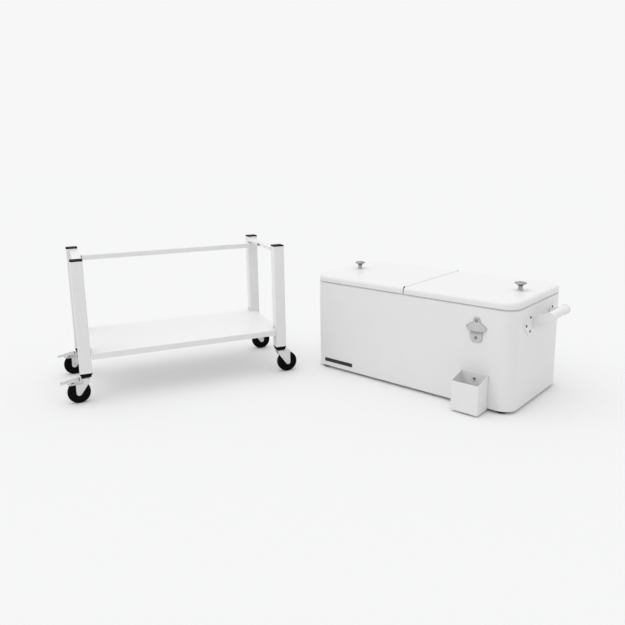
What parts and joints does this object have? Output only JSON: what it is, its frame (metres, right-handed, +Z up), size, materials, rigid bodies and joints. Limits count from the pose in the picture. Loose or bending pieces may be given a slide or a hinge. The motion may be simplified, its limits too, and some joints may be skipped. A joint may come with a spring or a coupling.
{
  "type": "patio cooler with cart",
  "caption": "White insulated patio cooler with split hinged lids, opener and cap bin, standing beside its open four-post cart on casters.",
  "frame": {"origin": "on the floor, under the middle of the box round the tub and the cart together", "axes": "+X along the tub's length, towards the end with the opener; +Y from the tub's front to its rear; +Z up"},
  "size_m": [1.5818, 1.273, 0.4945],
  "materials": {
    "white_coat": "semi-gloss textured powder coat",
    "white_moulding": "satin",
    "foam": "matte",
    "black_rubber": "matte",
    "grey_rubber": "matte",
    "black_plastic": "satin",
    "badge_plate": "satin anodised black",
    "bright_chrome": "polished",
    "stainless": "brushed",
    "zinc_plate": "bright zinc",
    "black_screw": "black oxide",
    "wheel_black": "satin"
  },
  "bodies": {
    "cart": {"side_frame_left": "white_coat", "side_frame_right": "white_coat", "rear_bar": "white_coat", "bar_end_plugs": "black_plastic", "shelf": "white_coat", "frame_bolts": "black_screw", "shelf_bolts": "zinc_plate", "post_caps": "black_plastic", "caster_sockets": "black_plastic", "caster_stems": "zinc_plate"},
    "tub": {"tub_shell": "white_coat", "base_pan": "white_coat", "foam_core": "foam", "tub_liner": "white_moulding", "rim_gasket": "grey_rubber", "tub_feet": "black_rubber", "foot_screws": "zinc_plate", "hinge_bar": "white_coat", "hinge_bar_screws": "stainless", "hinge_fixed_leaf": "white_coat", "hinge_pin": "black_screw", "badge_plate": "badge_plate", "bottle_opener": "stainless", "front_screws": "black_screw", "handle_rivets": "black_screw", "handle_grip_left": "white_coat", "handle_grip_right": "white_coat", "drain_fitting": "white_moulding", "drain_nut": "white_moulding", "handle_bracket_left_front": "white_coat", "handle_bracket_left_rear": "white_coat", "handle_bracket_right_front": "white_coat", "handle_bracket_right_rear": "white_coat"},
    "drain_cap": {"drain_cap": "white_moulding"},
    "cap_bin": {"cap_bin": "white_coat"},
    "lid_left": {"lid_shell_left": "white_coat", "lid_panel_left": "white_moulding", "lid_foam_left": "foam", "hinge_leaf_left": "white_coat", "lid_knob_left": "bright_chrome"},
    "lid_right": {"lid_shell_right": "white_coat", "lid_panel_right": "white_moulding", "lid_foam_right": "foam", "hinge_leaf_right": "white_coat", "lid_knob_right": "bright_chrome"},
    "caster_left_front": {"fork_left_front": "zinc_plate", "axle_left_front": "zinc_plate"},
    "wheel_left_front": {"wheel_left_front": "wheel_black"},
    "caster_left_rear": {"fork_left_rear": "zinc_plate", "axle_left_rear": "zinc_plate"},
    "wheel_left_rear": {"wheel_left_rear": "wheel_black"},
    "caster_right_front": {"fork_right_front": "zinc_plate", "axle_right_front": "zinc_plate"},
    "wheel_right_front": {"wheel_right_front": "wheel_black"},
    "caster_right_rear": {"fork_right_rear": "zinc_plate", "axle_right_rear": "zinc_plate"},
    "wheel_right_rear": {"wheel_right_rear": "wheel_black"},
    "pedal_front": {"brake_pedal_front": "zinc_plate"},
    "pedal_rear": {"brake_pedal_rear": "zinc_plate"}
  },
  "joints": [
    {"name": "tub_lift", "type": "slide", "parent": "cart", "child": "tub", "axis": [0, 0, 1], "range_m": [0, 0.6]},
    {"name": "lid_left_hinge", "type": "hinge", "parent": "tub", "child": "lid_left", "pos_m": [0.31591, 0.4222, 0.368], "axis": [0, 1, 0], "range_deg": [0, 84]},
    {"name": "lid_right_hinge", "type": "hinge", "parent": "tub", "child": "lid_right", "pos_m": [0.31591, 0.4222, 0.368], "axis": [0, -1, 0], "range_deg": [0, 84]},
    {"name": "bin_lift", "type": "slide", "parent": "tub", "child": "cap_bin", "axis": [0, 0, 1], "range_m": [0, 0.012]},
    {"name": "drain_cap_turn", "type": "hinge", "parent": "tub", "child": "drain_cap", "pos_m": [0.06591, 0.6225, 0.064], "axis": [0, 1, 0], "range_deg": [0, 720]},
    {"name": "swivel_left_front", "type": "hinge", "parent": "cart", "child": "caster_left_front", "pos_m": [-0.454, -0.55427, 0.0865], "axis": [0, 0, 1], "continuous": true},
    {"name": "spin_left_front", "type": "hinge", "parent": "caster_left_front", "child": "wheel_left_front", "pos_m": [-0.46571, -0.57859, 0.038], "axis": [-0.9011, 0.4337, 0], "continuous": true},
    {"name": "swivel_left_rear", "type": "hinge", "parent": "cart", "child": "caster_left_rear", "pos_m": [-0.74234, -0.4155, 0.0865], "axis": [0, 0, 1], "continuous": true},
    {"name": "spin_left_rear", "type": "hinge", "parent": "caster_left_rear", "child": "wheel_left_rear", "pos_m": [-0.75405, -0.43982, 0.038], "axis": [-0.9011, 0.4337, 0], "continuous": true},
    {"name": "swivel_right_front", "type": "hinge", "parent": "cart", "child": "caster_right_front", "pos_m": [-0.14784, 0.08189, 0.0865], "axis": [0, 0, 1], "continuous": true},
    {"name": "spin_right_front", "type": "hinge", "parent": "caster_right_front", "child": "wheel_right_front", "pos_m": [-0.13613, 0.10622, 0.038], "axis": [-0.9011, 0.4337, 0], "continuous": true},
    {"name": "swivel_right_rear", "type": "hinge", "parent": "cart", "child": "caster_right_rear", "pos_m": [-0.43618, 0.22067, 0.0865], "axis": [0, 0, 1], "continuous": true},
    {"name": "spin_right_rear", "type": "hinge", "parent": "caster_right_rear", "child": "wheel_right_rear", "pos_m": [-0.42447, 0.24499, 0.038], "axis": [-0.9011, 0.4337, 0], "continuous": true},
    {"name": "brake_front", "type": "hinge", "parent": "caster_left_front", "child": "pedal_front", "pos_m": [-0.46267, -0.57229, 0.079], "axis": [0.9011, -0.4337, 0], "range_deg": [0, 8]},
    {"name": "brake_rear", "type": "hinge", "parent": "caster_left_rear", "child": "pedal_rear", "pos_m": [-0.75102, -0.43352, 0.079], "axis": [0.9011, -0.4337, 0], "range_deg": [0, 8]}
  ]
}
